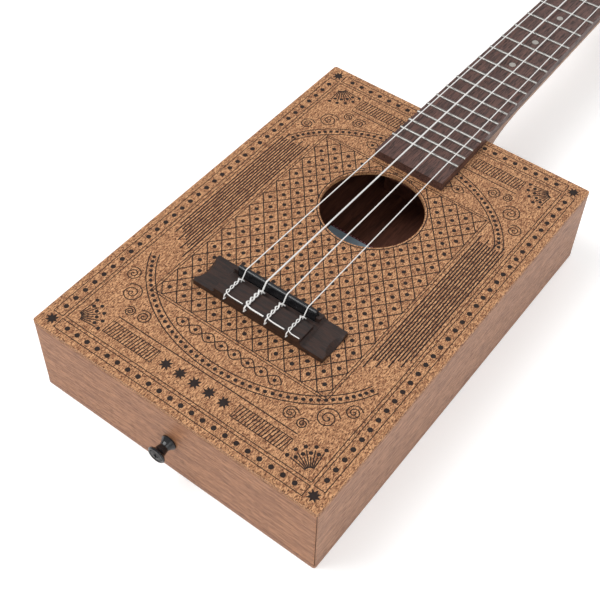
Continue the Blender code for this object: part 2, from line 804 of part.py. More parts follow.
def build_nut():
    half = BOARD_WIDTH_AT_NUT / 2
    top = BOARD_TOP + NUT_OVER_BOARD
    nut = block("nut", (-half, NUT_Y, BOARD_BOTTOM), (half, NUT_Y + NUT_THICKNESS, top))
    link(nut, colour="black")
    for index, name in enumerate(STRING_NAMES):
        width = STRING_DIAMETERS[index] + 2 * GAP
        slot = block(
            f"nut_slot_{name}",
            (-width / 2, -4 * NUT_THICKNESS, 0),
            (width / 2, 4 * NUT_THICKNESS, 4 * NUT_OVER_BOARD),
        )
        lift = Vector((0, 0, 2 * NUT_OVER_BOARD))
        slot.rotation_euler = (-NUT_SLOT_FALL, 0, 0)
        lift.rotate(slot.rotation_euler)
        slot.location = Vector((string_x(index, SPAN_AT_NUT), NUT_Y, nut_slot_floor())) + lift
        cut(nut, add_cutter(slot))


# Strings

def smooth_route(points, parts):
    """A Catmull-Rom curve through the points, each stretch cut in the given number of parts."""
    made = []
    last = len(points) - 1
    for i in range(last):
        a = points[max(i - 1, 0)]
        b, c = points[i], points[i + 1]
        d = points[min(i + 2, last)]
        for k in range(parts):
            t = k / parts
            made.append(
                0.5 * (2 * b + (c - a) * t + (2 * a - 5 * b + 4 * c - d) * t ** 2
                       + (3 * b - 3 * c + d - a) * t ** 3)
            )
    made.append(points[last])
    return made


def knot_points(x, radius, tail):
    """The tie on the bridge, from the tail's cut end to the string on the saddle."""
    top = BOX_HEIGHT + GAP + CENTRE_HEIGHT
    hole = BOX_HEIGHT + GAP + TIE_HOLE_HEIGHT
    back = BRIDGE_BACK
    front = BRIDGE_BACK + TIE_BLOCK_DEPTH
    lay = top + GAP + radius
    twist = radius + 0.32 * MM
    middle = lay + twist
    return (
        tail_points(x, back, lay, middle + twist, tail)
        + twist_points(x, back, front, middle, twist, math.pi / 2, False)
        + loop_points(x, front, middle, hole)
        + twist_points(x, back, front, middle, twist, -math.pi / 2, True)
        + back_points(x, back, hole, lay)
        + [Vector((x, front - 1.5 * MM, hole)), Vector((x, front + 0.5 * MM, hole + 0.15 * MM))]
        + saddle_points(x, radius)
    )


def tail_points(x, back, lay, high, tail):
    """The cut tail lies along the tie block's back edge and rises onto its own knot."""
    shape = (
        (tail, 0.55, 0.0),
        (tail * 0.66, 0.5, 0.0),
        (tail * 0.36, 0.45, 0.05),
        (1.9 * MM, 0.35, 0.45),
        (0.9 * MM, 0.45, 0.85),
    )
    return [Vector((x + a, back + b * MM, mixed(lay, high, c))) for a, b, c in shape]


def twist_points(x, back, front, middle, twist, start, forwards):
    """One strand of the twisted pair that lies across the tie block."""
    count = 9
    low = back + 1.1 * MM
    high = front - 0.9 * MM
    turn = 3 * math.pi
    made = []
    for i in range(count):
        share = i / (count - 1)
        angle = start + turn * share
        made.append(
            Vector(
                (
                    x + twist * math.cos(angle),
                    mixed(low, high, share),
                    middle + twist * math.sin(angle),
                )
            )
        )
    return list(reversed(made)) if forwards else made


def loop_points(x, front, middle, hole):
    """The turn in front of the tie block, which passes under the standing string."""
    rise = middle - hole
    shape = (
        (-0.9, 0.35, 0.80),
        (-1.5, 1.15, 0.68),
        (-1.35, 2.05, 0.31),
        (0.0, 2.75, 0.07),
        (1.35, 2.05, 0.37),
        (1.5, 1.1, 0.82),
        (0.9, 0.35, 1.12),
    )
    return [Vector((x + a * MM, front + b * MM, hole + c * rise)) for a, b, c in shape]


def back_points(x, back, hole, lay):
    """Over the tie block's back edge, down its back face and into the tie hole."""
    away = lay - (BOX_HEIGHT + GAP + CENTRE_HEIGHT)
    shape = (
        (0.15, lay),
        (-away / MM - 0.1, lay - 0.45 * MM),
        (-away / MM - 0.3, lay - 1.6 * MM),
        (-away / MM - 0.25, hole + 1.0 * MM),
        (-0.55, hole + 0.12 * MM),
    )
    return [Vector((x, back + a * MM, z)) for a, z in shape]


def saddle_points(x, radius):
    high = SADDLE_TOP + GAP + radius
    return [
        Vector((x, SADDLE_Y - 1.9 * MM, high - 1.1 * MM)),
        Vector((x, SADDLE_Y - 0.9 * MM, high - 0.15 * MM)),
        Vector((x, SADDLE_Y, high)),
    ]


def nut_points(x, radius):
    high = nut_slot_floor() + GAP + radius
    fall = math.tan(NUT_SLOT_FALL)
    return [
        Vector((x, NUT_Y, high)),
        Vector((x, NUT_Y + NUT_THICKNESS, high - fall * NUT_THICKNESS)),
    ]


def head_matrix():
    return Matrix.Translation(HEAD_ORIGIN) @ Matrix.Rotation(-HEAD_TILT, 4, "X")


def winding_points(index, leaves_nut):
    """The straight run from the nut, the loops round the post and the cut tail."""
    side = TUNER_SIDES[index]
    post = TUNER_POSTS[index]
    diameter = STRING_DIAMETERS[index]
    matrix = head_matrix()
    start = matrix.inverted() @ leaves_nut
    reach = POST_WAIST_RADIUS + RUNNING_GAP + diameter / 2
    to_post = Vector((side * post[0] - start.x, post[1] - start.y))
    aim = math.atan2(to_post.y, to_post.x) + side * math.asin(reach / to_post.length)
    angle = aim + side * math.pi / 2
    count = round(WINDING_TURNS * POINTS_PER_LOOP)
    pitch = diameter + WINDING_GAP
    loops = []
    for i in range(count + 1):
        turned = angle - side * 2 * math.pi * i / POINTS_PER_LOOP
        loops.append(
            Vector(
                (
                    side * post[0] + reach * math.cos(turned),
                    post[1] + reach * math.sin(turned),
                    WINDING_START + pitch * i / POINTS_PER_LOOP,
                )
            )
        )
    onward = (loops[-1] - loops[-2]).normalized()
    loops.append(loops[-1] + onward * WINDING_TAIL)
    return [matrix @ place for place in loops]


def least_gap(points, diameter):
    """The least clear distance of a tube to itself, leaving out its own neighbourhood."""
    travelled = [0.0]
    for a, b in zip(points, points[1:]):
        travelled.append(travelled[-1] + (b - a).length)
    least = 1.0
    for i, a in enumerate(points):
        for j in range(i + 2, len(points)):
            if travelled[j] - travelled[i] > 3 * diameter:
                least = min(least, (a - points[j]).length)
    return least - diameter


def string_points(index):
    radius = STRING_DIAMETERS[index] / 2
    x = string_x(index, SPAN_AT_SADDLE)
    spacing = SPAN_AT_SADDLE / 3
    tail = spacing - TAIL_FROM_NEXT_KNOT if index < 3 else LAST_TAIL
    knot = smooth_route(knot_points(x, radius, tail), 2)
    nut = nut_points(string_x(index, SPAN_AT_NUT), radius)
    winding = winding_points(index, nut[-1])
    return knot, nut, winding


def build_strings():
    for index, name in enumerate(STRING_NAMES):
        diameter = STRING_DIAMETERS[index]
        knot, nut, winding = string_points(index)
        tie = least_gap(knot, diameter)
        loops = least_gap(winding, diameter)
        print(f"string {name}: least gap {tie * 1000:.2f} mm in its knot, {loops * 1000:.2f} mm in its loops")
        item = tube_item(f"string_{name}", knot + nut + winding, diameter / 2)
        link(item, colour="nylon")
        smooth(item, 70)


# Tuners

def build_tuners(head):
    for name, side, place in zip(TUNER_NAMES, TUNER_SIDES, TUNER_POSTS):
        centre = empty(f"tuner_{name}", (side * place[0], place[1], 0), parent=head)
        build_bushing(name, centre)
        build_post(name, centre)
        build_plate(name, centre)
        build_gear(name, centre)
        build_worm(name, centre, side, place)
        build_knob(name, centre, side, place)


def build_bushing(name, centre):
    bore = POST_RADIUS + RUNNING_GAP
    profile = [
        (bore, GAP + BUSHING_FLANGE_HEIGHT),
        (BUSHING_FLANGE_RADIUS - 0.6 * MM, GAP + BUSHING_FLANGE_HEIGHT),
        (BUSHING_FLANGE_RADIUS, GAP + BUSHING_FLANGE_HEIGHT - 0.6 * MM),
        (BUSHING_FLANGE_RADIUS, GAP),
        (BUSHING_RADIUS, GAP),
        (BUSHING_RADIUS, GAP - HEAD_THICKNESS),
        (bore, GAP - HEAD_THICKNESS),
        (bore, GAP + BUSHING_FLANGE_HEIGHT),
    ]
    item = link(turned_item(f"bushing_{name}", profile), centre, "steel")
    smooth(item)


def build_post(name, centre):
    """The string post: a waisted head above, a collar on the plate and a riveted end below."""
    collar_top = PLATE_LOW - RUNNING_GAP
    collar_low = GEAR_TOP + RUNNING_GAP
    rivet_top = GEAR_TOP - GEAR_THICKNESS - RUNNING_GAP
    profile = [
        (0, POST_HEIGHT),
        (POST_RADIUS - 0.5 * MM, POST_HEIGHT),
        (POST_RADIUS, POST_HEIGHT - 0.5 * MM),
        (POST_RADIUS, POST_HEIGHT - 2.0 * MM),
        (POST_WAIST_RADIUS, POST_HEIGHT - 3.0 * MM),
        (POST_WAIST_RADIUS, WINDING_START - 0.9 * MM),
        (POST_RADIUS, WINDING_START - 1.7 * MM),
        (POST_RADIUS, collar_top),
        (POST_RADIUS + 0.6 * MM, collar_top),
        (POST_RADIUS + 0.6 * MM, collar_low),
        (POST_TENON_RADIUS, collar_low),
        (POST_TENON_RADIUS, rivet_top),
        (POST_RADIUS, rivet_top),
        (POST_RADIUS - 0.3 * MM, rivet_top - 0.8 * MM),
        (0, rivet_top - 1.1 * MM),
    ]
    post = link(turned_item(f"post_{name}", profile), centre, "steel")
    smooth(post)
    hole = cylinder(f"post_string_hole_{name}", POST_HOLE_RADIUS, 4 * POST_RADIUS, 12, "Y")
    hole.location = (0, 0, POST_HEIGHT - 4.2 * MM)
    cut(post, add_cutter(hole, centre))


def build_plate(name, centre):
    low_y = -AXES_APART - EAR_HALF_WIDTH - 1.5 * MM
    outline = rounded_rectangle(PLATE_HALF_WIDTH, (PLATE_PAST_POST - low_y) / 2, 1.5 * MM, 3)
    plate = outline_item(f"plate_{name}", outline, PLATE_THICKNESS)
    plate.location = (0, (PLATE_PAST_POST + low_y) / 2, PLATE_TOP - PLATE_THICKNESS / 2)
    link(plate, centre, "steel")
    bore = cylinder(f"plate_bore_{name}", POST_RADIUS + RUNNING_GAP, 10 * MM, 20)
    bore.location = (0, 0, PLATE_LOW)
    cut(plate, add_cutter(bore, centre))
    for end in (-1, 1):
        ear = outline_item(f"plate_ear_{name}_{end + 1}", ear_outline(), EAR_THICKNESS)
        ear.rotation_euler = (math.pi / 2, 0, math.pi / 2)
        ear.location = (end * (EAR_INNER + EAR_OUTER) / 2, -AXES_APART, WORM_Z)
        join(plate, add_cutter(ear, centre))
    axle = cylinder(f"plate_axle_hole_{name}", SHAFT_RADIUS + RUNNING_GAP, 6 * EAR_OUTER, 20, "X")
    axle.location = (0, -AXES_APART, WORM_Z)
    cut(plate, add_cutter(axle, centre))


def ear_outline():
    """An ear seen along the worm, its round end down and its root inside the plate."""
    root = PLATE_LOW + PLATE_THICKNESS / 2 - WORM_Z
    points = [(EAR_HALF_WIDTH, root), (-EAR_HALF_WIDTH, root)]
    return points + arc((0, 0), EAR_HALF_WIDTH, 180, 360, 10)


def worm_profile():
    """One pitch of the thread along the worm, as pairs of distance and radius."""
    root = WORM_PITCH_RADIUS - DEDENDUM
    tip = WORM_PITCH_RADIUS + ADDENDUM
    low = (WORM_PITCH - TOOTH_AT_ROOT) / 2
    crest = (WORM_PITCH - TOOTH_AT_TIP) / 2
    return [
        (0, root),
        (low, root),
        (crest, tip),
        (WORM_PITCH - crest, tip),
        (WORM_PITCH - low, root),
        (WORM_PITCH, root),
    ]


def thread_item(name):
    """A right-handed thread along X, with a crest on +Y at its middle, longer than the worm."""
    steps = 14
    turns = math.ceil(WORM_LENGTH / WORM_PITCH) + 2
    turns += turns % 2
    profile = worm_profile()
    start = -(turns + 1) / 2 * WORM_PITCH
    bm = bmesh.new()
    rows = []
    for i in range(turns * steps + 1):
        angle = 2 * math.pi * i / steps
        row = []
        for along, radius in profile:
            x = start + along + WORM_PITCH * i / steps
            row.append(bm.verts.new((x, radius * math.cos(angle), radius * math.sin(angle))))
        rows.append(row)
    for before, after in zip(rows, rows[1:]):
        for i in range(len(profile) - 1):
            bm.faces.new((before[i], before[i + 1], after[i + 1], after[i]))
    bmesh.ops.remove_doubles(bm, verts=bm.verts, dist=1e-7)
    open_edges = [edge for edge in bm.edges if edge.is_boundary]
    bmesh.ops.holes_fill(bm, edges=open_edges, sides=0)
    bmesh.ops.recalc_face_normals(bm, faces=bm.faces)
    return mesh_item(name, bm)


def knob_start(side, place):
    edge = head_half_width(place[1] - AXES_APART)
    return edge - place[0] + KNOB_FROM_HEAD_EDGE


def build_worm(name, centre, side, place):
    worm = thread_item(f"worm_shaft_{name}")
    worm.location = (0, -AXES_APART, WORM_Z)
    link(worm, centre, "steel")
    keep = cylinder(f"worm_length_{name}", 2 * WORM_PITCH_RADIUS, WORM_LENGTH, 20, "X")
    keep.location = worm.location
    combine(worm, add_cutter(keep, centre), "INTERSECT")
    inner_end = -side * (EAR_OUTER + 0.7 * MM)
    outer_end = side * (knob_start(side, place) + KNOB_LENGTH * 0.6)
    length = abs(outer_end - inner_end)
    shaft = cylinder(f"worm_axle_{name}", SHAFT_RADIUS, length, 16, "X")
    shaft.location = ((inner_end + outer_end) / 2, -AXES_APART, WORM_Z)
    join(worm, add_cutter(shaft, centre))


def gear_outline():
    root = GEAR_RADIUS - DEDENDUM
    tip = GEAR_RADIUS + ADDENDUM
    step = 2 * math.pi / GEAR_TEETH
    points = []
    for tooth in range(GEAR_TEETH):
        middle = -math.pi / 2 + (tooth + 0.5) * step
        for radius, width, end in (
            (root, TOOTH_AT_ROOT, -1),
            (tip, TOOTH_AT_TIP, -1),
            (tip, TOOTH_AT_TIP, 1),
            (root, TOOTH_AT_ROOT, 1),
        ):
            angle = middle + end * width / 2 / radius
            points.append((radius * math.cos(angle), radius * math.sin(angle)))
    return points


def build_gear(name, centre):
    """A flat outline of teeth swept down its axis with the small twist that follows the thread."""
    slant = WORM_PITCH / (2 * math.pi * WORM_PITCH_RADIUS)
    twist = GEAR_THICKNESS * slant / GEAR_RADIUS
    bm = bmesh.new()
    rim = [bm.verts.new((x, y, 0)) for x, y in gear_outline()]
    face = bm.faces.new(reversed(rim))
    bmesh.ops.rotate(bm, matrix=Matrix.Rotation(-twist / 2, 3, "Z"), verts=bm.verts)
    steps = 2
    bmesh.ops.spin(
        bm,
        geom=list(bm.verts) + list(bm.edges) + [face],
        cent=(0, 0, 0),
        axis=(0, 0, 1),
        dvec=(0, 0, GEAR_THICKNESS / steps),
        angle=twist,
        steps=steps,
        use_duplicate=False,
    )
    bmesh.ops.recalc_face_normals(bm, faces=bm.faces)
    gear = mesh_item(f"gear_{name}", bm)
    gear.location = (0, 0, GEAR_TOP - GEAR_THICKNESS)
    link(gear, centre, "brass")
    bore = cylinder(f"gear_bore_{name}", POST_TENON_RADIUS + GAP, 10 * MM, 20)
    bore.location = gear.location
    cut(gear, add_cutter(bore, centre))


def build_knob(name, centre, side, place):
    start = knob_start(side, place)
    bm = bmesh.new()
    bmesh.ops.create_cube(bm, size=1.0)
    for vert in bm.verts:
        outer = 1.12 if vert.co.x * side > 0 else 0.72
        vert.co.y *= KNOB_WIDTH * outer
        vert.co.z *= KNOB_THICKNESS * outer
        vert.co.x *= KNOB_LENGTH * 1.25
    knob = mesh_item(f"knob_{name}", bm)
    knob.location = (side * (start + KNOB_LENGTH / 2), -AXES_APART, WORM_Z)
    link(knob, centre, "black")
    round_off = knob.modifiers.new("round", "SUBSURF")
    round_off.levels = 2
    round_off.render_levels = 2
    depth = KNOB_LENGTH * 0.6 + GAP
    bore = cylinder(f"knob_bore_{name}", SHAFT_RADIUS + GAP, 2 * depth, 16, "X")
    bore.location = (side * start, -AXES_APART, WORM_Z)
    cut(knob, add_cutter(bore, centre))
    smooth(knob, 50)


# The whole instrument

def build_all():
    build_box()
    build_blocks()
    build_linings()
    build_braces()
    build_label()
    build_strap_button()
    build_bridge()
    build_saddle()
    head = empty("headstock_frame", HEAD_ORIGIN, (-HEAD_TILT, 0, 0))
    build_neck(head)
    build_fretboard()
    build_nut()
    build_strings()
    build_tuners(head)


build_all()
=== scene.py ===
# %% [markdown]
# A box ukulele lies on a pale table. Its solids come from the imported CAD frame.
# This lesson adds what the CAD leaves out: the burnt pattern on the soundboard, the metal
# fret wires, and a finish with real grain for every piece of wood, metal, nylon and plastic.

import math

import bmesh
import bpy
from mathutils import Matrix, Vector


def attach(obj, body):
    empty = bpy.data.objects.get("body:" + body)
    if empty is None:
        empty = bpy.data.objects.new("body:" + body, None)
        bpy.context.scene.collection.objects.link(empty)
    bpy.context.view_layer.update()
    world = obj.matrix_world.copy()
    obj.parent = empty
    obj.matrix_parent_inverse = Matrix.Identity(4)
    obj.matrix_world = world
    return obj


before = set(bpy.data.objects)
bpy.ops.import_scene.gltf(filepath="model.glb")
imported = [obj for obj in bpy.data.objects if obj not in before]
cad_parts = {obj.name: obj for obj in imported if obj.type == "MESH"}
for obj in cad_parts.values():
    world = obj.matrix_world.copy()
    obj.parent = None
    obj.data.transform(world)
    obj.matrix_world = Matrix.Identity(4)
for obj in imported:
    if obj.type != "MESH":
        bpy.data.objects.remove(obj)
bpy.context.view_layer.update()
BODY = "instrument"
MM = 0.001

# %% [markdown]
# All sizes below are those of the CAD, in millimetres, with the origin in the middle of the
# box's back. Writing them once keeps the pattern in step with the box, the hole and the frets.

# %% Sizes shared with the CAD
HALF_WIDTH = 88.0
HALF_LENGTH = 127.0
TOP = 52.0
HOLE_CENTRE = (0.0, 40.4)
HOLE_RADIUS = 29.0
SCALE = 381.0
BODY_FRET = 14
FRETS = 18
SADDLE_Y = HALF_LENGTH - SCALE * 2 ** (-BODY_FRET / 12)
NUT_Y = SADDLE_Y + SCALE
BOARD_TOP = 57.8
BOARD_PAST_LAST_FRET = 17.0
BOARD_WIDTHS = (44.8, 35.2)


def fret_y(number):
    return SADDLE_Y + SCALE * 2 ** (-number / 12)


BOARD_END = fret_y(FRETS) - BOARD_PAST_LAST_FRET
print("fret", BODY_FRET, "lies", round(fret_y(BODY_FRET), 2), "mm from the middle of the box")

# %% [markdown]
# Node trees are easier to read when one helper adds a node and fills its inputs. A value is
# either a plain number or colour, or the output of an earlier node, which is then linked. Three
# more helpers do arithmetic, declare a group's number inputs and add an alpha to a colour.


# %% A helper that adds and wires a node
def add(tree, kind, inputs=None, **settings):
    made = tree.nodes.new(kind)
    for name, value in settings.items():
        setattr(made, name, value)
    for name, value in (inputs or {}).items():
        socket = made.inputs[name]
        if isinstance(value, bpy.types.NodeSocket):
            tree.links.new(value, socket)
        else:
            socket.default_value = value
    return made


def math_node(tree, operation, first, second=0.0):
    return add(tree, "ShaderNodeMath", {0: first, 1: second}, operation=operation).outputs[0]


def number_inputs(face, names_and_values):
    for name, value in names_and_values:
        socket = face.new_socket(name=name, in_out="INPUT", socket_type="NodeSocketFloat")
        socket.default_value = value


def rgba(colour):
    return (*colour, 1.0)


# %% [markdown]
# Mahogany and walnut share one figure: soft bands along the grain, and short dark pores drawn
# out the same way. A shader node group holds it once. Each wood sets its own colours, and the
# Mapping node in the material stretches the pattern along that board's own grain.

# %% The wood figure group
def wood_figure():
    group = bpy.data.node_groups.new("wood_figure", "ShaderNodeTree")
    face = group.interface
    face.new_socket(name="Vector", in_out="INPUT", socket_type="NodeSocketVector")
    for name in ("Light", "Dark", "Pore"):
        face.new_socket(name=name, in_out="INPUT", socket_type="NodeSocketColor")
    number_inputs(face, (("Pore Amount", 0.6), ("Pore Size", 5.0)))
    face.new_socket(name="Color", in_out="OUTPUT", socket_type="NodeSocketColor")
    face.new_socket(name="Height", in_out="OUTPUT", socket_type="NodeSocketFloat")
    face.new_socket(name="Roughness", in_out="OUTPUT", socket_type="NodeSocketFloat")
    given = add(group, "NodeGroupInput").outputs
    bands = add(group, "ShaderNodeTexNoise", {
        "Vector": given["Vector"], "Scale": 1.0, "Detail": 5.0, "Roughness": 0.62})
    fine = add(group, "ShaderNodeTexNoise", {
        "Vector": given["Vector"], "Scale": 6.0, "Detail": 3.0, "Roughness": 0.7})
    pores = add(group, "ShaderNodeTexNoise", {
        "Vector": given["Vector"], "Scale": given["Pore Size"], "Detail": 2.0, "Roughness": 0.5})
    tone = math_node(group, "ADD", bands.outputs["Fac"],
                     math_node(group, "MULTIPLY", fine.outputs["Fac"], 0.45))
    share = add(group, "ShaderNodeMapRange", {
        "Value": tone, "From Min": 0.58, "From Max": 0.84}).outputs[0]
    base = add(group, "ShaderNodeMix", {"Factor": share}, data_type="RGBA")
    group.links.new(given["Dark"], base.inputs[6])
    group.links.new(given["Light"], base.inputs[7])
    holes = add(group, "ShaderNodeMapRange", {
        "Value": pores.outputs["Fac"], "From Min": 0.53, "From Max": 0.60}).outputs[0]
    masked = math_node(group, "MULTIPLY", holes, given["Pore Amount"])
    mixed = add(group, "ShaderNodeMix", {"Factor": masked}, data_type="RGBA")
    group.links.new(base.outputs[2], mixed.inputs[6])
    group.links.new(given["Pore"], mixed.inputs[7])
    out = add(group, "NodeGroupOutput")
    group.links.new(mixed.outputs[2], out.inputs["Color"])
    group.links.new(math_node(group, "SUBTRACT", fine.outputs["Fac"], masked), out.inputs["Height"])
    rough = math_node(group, "ADD", math_node(group, "MULTIPLY", masked, 0.25), 0.45)
    group.links.new(rough, out.inputs["Roughness"])
    return group


WOOD_FIGURE = wood_figure()
print("wood figure group has", len(WOOD_FIGURE.nodes), "nodes")

# %% [markdown]
# A wood finish is the group, a bump from its height, and a Principled shader. The stretch is
# how far apart the bands lie, in millimetres, along X, Y and Z: a long stretch is the grain.


# %% Wood finishes
BUMP_DEPTH = 0.15 * MM


def wood(name, light, dark, pore, stretch, amount, size, rough, bump=0.25):
    made = bpy.data.materials.new(name)
    made.use_nodes = True
    tree = made.node_tree
    shader = tree.nodes["Principled BSDF"]
    place = add(tree, "ShaderNodeTexCoord").outputs["Object"]
    scale = tuple(1.0 / (part * MM) for part in stretch)
    spread = add(tree, "ShaderNodeMapping", {"Vector": place, "Scale": scale})
    figure = add(tree, "ShaderNodeGroup", node_tree=WOOD_FIGURE)
    tree.links.new(spread.outputs[0], figure.inputs["Vector"])
    for socket, colour in (("Light", light), ("Dark", dark), ("Pore", pore)):
        figure.inputs[socket].default_value = rgba(colour)
    figure.inputs["Pore Amount"].default_value = amount
    figure.inputs["Pore Size"].default_value = size
    lift = add(tree, "ShaderNodeBump", {
        "Height": figure.outputs["Height"], "Strength": bump, "Distance": BUMP_DEPTH})
    offset = math_node(tree, "ADD", figure.outputs["Roughness"], rough - 0.5)
    tree.links.new(figure.outputs["Color"], shader.inputs["Base Color"])
    tree.links.new(offset, shader.inputs["Roughness"])
    tree.links.new(lift.outputs[0], shader.inputs["Normal"])
    return made


SOUNDBOARD_WOOD = wood(
    "soundboard_wood", (0.70, 0.37, 0.175), (0.215, 0.072, 0.024), (0.10, 0.032, 0.013),
    stretch=(0.75, 2.3, 0.75), amount=1.0, size=1.7, rough=0.65, bump=0.5)
SIDE_ALONG = wood(
    "side_wood_along", (0.47, 0.235, 0.130), (0.26, 0.115, 0.06), (0.13, 0.06, 0.036),
    stretch=(1.3, 14.0, 1.3), amount=0.6, size=3.0, rough=0.55)
SIDE_ACROSS = wood(
    "side_wood_across", (0.49, 0.225, 0.105), (0.27, 0.105, 0.045), (0.13, 0.06, 0.036),
    stretch=(14.0, 1.3, 1.3), amount=0.6, size=3.0, rough=0.55)
# The inside of the box: reddish wood made much darker than the sides, which paints the shade inside
# the box.
INNER_WOOD_PAINTED_SHADE = wood(
    "inner_wood", (0.20, 0.07, 0.04), (0.11, 0.035, 0.02), (0.05, 0.016, 0.012),
    stretch=(3.0, 30.0, 3.0), amount=0.4, size=4.0, rough=0.75)
NECK_WOOD = wood(
    "neck_wood", (0.44, 0.25, 0.15), (0.28, 0.14, 0.08), (0.13, 0.06, 0.035),
    stretch=(3.0, 50.0, 3.0), amount=0.5, size=4.0, rough=0.5)
BOARD_WOOD = wood(
    "fretboard_walnut", (0.135, 0.062, 0.048), (0.052, 0.024, 0.020), (0.02, 0.01, 0.008),
    stretch=(1.6, 18.0, 1.6), amount=0.8, size=3.5, rough=0.5)
BRIDGE_WOOD = wood(
    "bridge_walnut", (0.042, 0.018, 0.012), (0.013, 0.007, 0.006), (0.012, 0.007, 0.006),
    stretch=(14.0, 1.8, 1.8), amount=0.6, size=3.5, rough=0.45)
print("wood finishes made")

# %% [markdown]
# Nickel, brass, black plastic, nylon and pearl are smoother. Their detail is a faint change in
# roughness and tone, as handling leaves it, so one smaller group of marks serves them all.


# %% The handling marks group and the smooth finishes
def handling_marks():
    group = bpy.data.node_groups.new("handling_marks", "ShaderNodeTree")
    face = group.interface
    face.new_socket(name="Vector", in_out="INPUT", socket_type="NodeSocketVector")
    number_inputs(face, (("Low", 0.2), ("High", 0.4)))
    face.new_socket(name="Roughness", in_out="OUTPUT", socket_type="NodeSocketFloat")
    face.new_socket(name="Height", in_out="OUTPUT", socket_type="NodeSocketFloat")
    given = add(group, "NodeGroupInput").outputs
    marks = add(group, "ShaderNodeTexNoise", {
        "Vector": given["Vector"], "Scale": 420.0, "Detail": 4.0, "Roughness": 0.65})
    spread = add(group, "ShaderNodeMapRange", {
        "Value": marks.outputs["Fac"], "From Min": 0.3, "From Max": 0.7,
        "To Min": given["Low"], "To Max": given["High"]})
    out = add(group, "NodeGroupOutput")
    group.links.new(spread.outputs[0], out.inputs["Roughness"])
    group.links.new(marks.outputs["Fac"], out.inputs["Height"])
    return group


HANDLING_MARKS = handling_marks()


def smooth_finish(name, colour, low, high, metallic=0.0, tint=0.85):
    made = bpy.data.materials.new(name)
    made.use_nodes = True
    tree = made.node_tree
    shader = tree.nodes["Principled BSDF"]
    shader.inputs["Metallic"].default_value = metallic
    place = add(tree, "ShaderNodeTexCoord").outputs["Object"]
    marks = add(tree, "ShaderNodeGroup", node_tree=HANDLING_MARKS)
    tree.links.new(place, marks.inputs["Vector"])
    marks.inputs["Low"].default_value = low
    marks.inputs["High"].default_value = high
    blend = add(tree, "ShaderNodeMix", data_type="RGBA")
    tree.links.new(marks.outputs["Height"], blend.inputs["Factor"])
    blend.inputs[6].default_value = rgba([part * tint for part in colour])
    blend.inputs[7].default_value = rgba(colour)
    tree.links.new(blend.outputs[2], shader.inputs["Base Color"])
    tree.links.new(marks.outputs["Roughness"], shader.inputs["Roughness"])
    lift = add(tree, "ShaderNodeBump", {
        "Height": marks.outputs["Height"], "Strength": 0.05, "Distance": 0.0001})
    tree.links.new(lift.outputs[0], shader.inputs["Normal"])
    return made


NICKEL = smooth_finish("nickel_plate", (0.72, 0.71, 0.69), 0.18, 0.34, metallic=1.0)
FRET_METAL = smooth_finish("fret_metal", (0.42, 0.41, 0.39), 0.38, 0.5, metallic=1.0)
BRASS = smooth_finish("brass_gear", (0.72, 0.53, 0.27), 0.25, 0.4, metallic=1.0)
BLACK_GLOSS = smooth_finish("black_gloss", (0.012, 0.012, 0.014), 0.15, 0.32)
BLACK_METAL = smooth_finish("black_metal", (0.02, 0.02, 0.022), 0.3, 0.45, metallic=0.6)
NYLON = smooth_finish("nylon", (0.88, 0.87, 0.85), 0.28, 0.4, tint=0.95)
PEARL = smooth_finish("pearl_dot", (0.40, 0.37, 0.34), 0.25, 0.4, tint=0.8)
BURNT = smooth_finish("burnt_line", (0.020, 0.008, 0.005), 0.75, 0.95, tint=0.55)
print("smooth finishes made")

# %% [markdown]
# The paper label inside the box is pale blue, with a dark red border along its head edge and
# paler dashes on that border. The dashes come from the piece's own Object coordinates: one
# stripe along X, cut up by a repeating step.

# %% The label's paper
BORDER_Y = 54.5 * MM
DASH_Y = 55.2 * MM
DASH_HALF_WIDTH = 0.3 * MM
DASHES_PER_METRE = 400.0
DASH_SHARE = 0.6


def label_paper():
    made = bpy.data.materials.new("label_paper")
    made.use_nodes = True
    tree = made.node_tree
    shader = tree.nodes["Principled BSDF"]
    shader.inputs["Roughness"].default_value = 0.85
    place = add(tree, "ShaderNodeTexCoord").outputs["Object"]
    split = add(tree, "ShaderNodeSeparateXYZ", {"Vector": place})
    away = math_node(tree, "ABSOLUTE", math_node(tree, "SUBTRACT", split.outputs["Y"], DASH_Y))
    on_line = math_node(tree, "LESS_THAN", away, DASH_HALF_WIDTH)
    along = math_node(tree, "MULTIPLY", split.outputs["X"], DASHES_PER_METRE)
    dashes = math_node(tree, "LESS_THAN", math_node(tree, "FRACT", along), DASH_SHARE)
    mask = math_node(tree, "MULTIPLY", on_line, dashes)
    fibre = add(tree, "ShaderNodeTexNoise", {"Vector": place, "Scale": 900.0, "Detail": 3.0})
    paper = add(tree, "ShaderNodeMix", {"Factor": fibre.outputs["Fac"]}, data_type="RGBA")
    paper.inputs[6].default_value = rgba((0.46, 0.60, 0.72))
    paper.inputs[7].default_value = rgba((0.58, 0.71, 0.82))
    edge = math_node(tree, "GREATER_THAN", split.outputs["Y"], BORDER_Y)
    edged = add(tree, "ShaderNodeMix", {"Factor": edge}, data_type="RGBA")
    tree.links.new(paper.outputs[2], edged.inputs[6])
    edged.inputs[7].default_value = rgba((0.13, 0.02, 0.02))
    printed = add(tree, "ShaderNodeMix", {"Factor": mask}, data_type="RGBA")
    tree.links.new(edged.outputs[2], printed.inputs[6])
    printed.inputs[7].default_value = rgba((0.55, 0.28, 0.28))
    tree.links.new(printed.outputs[2], shader.inputs["Base Color"])
    return made


LABEL_PAPER = label_paper()
print("label paper made, with its border from", BORDER_Y, "on")
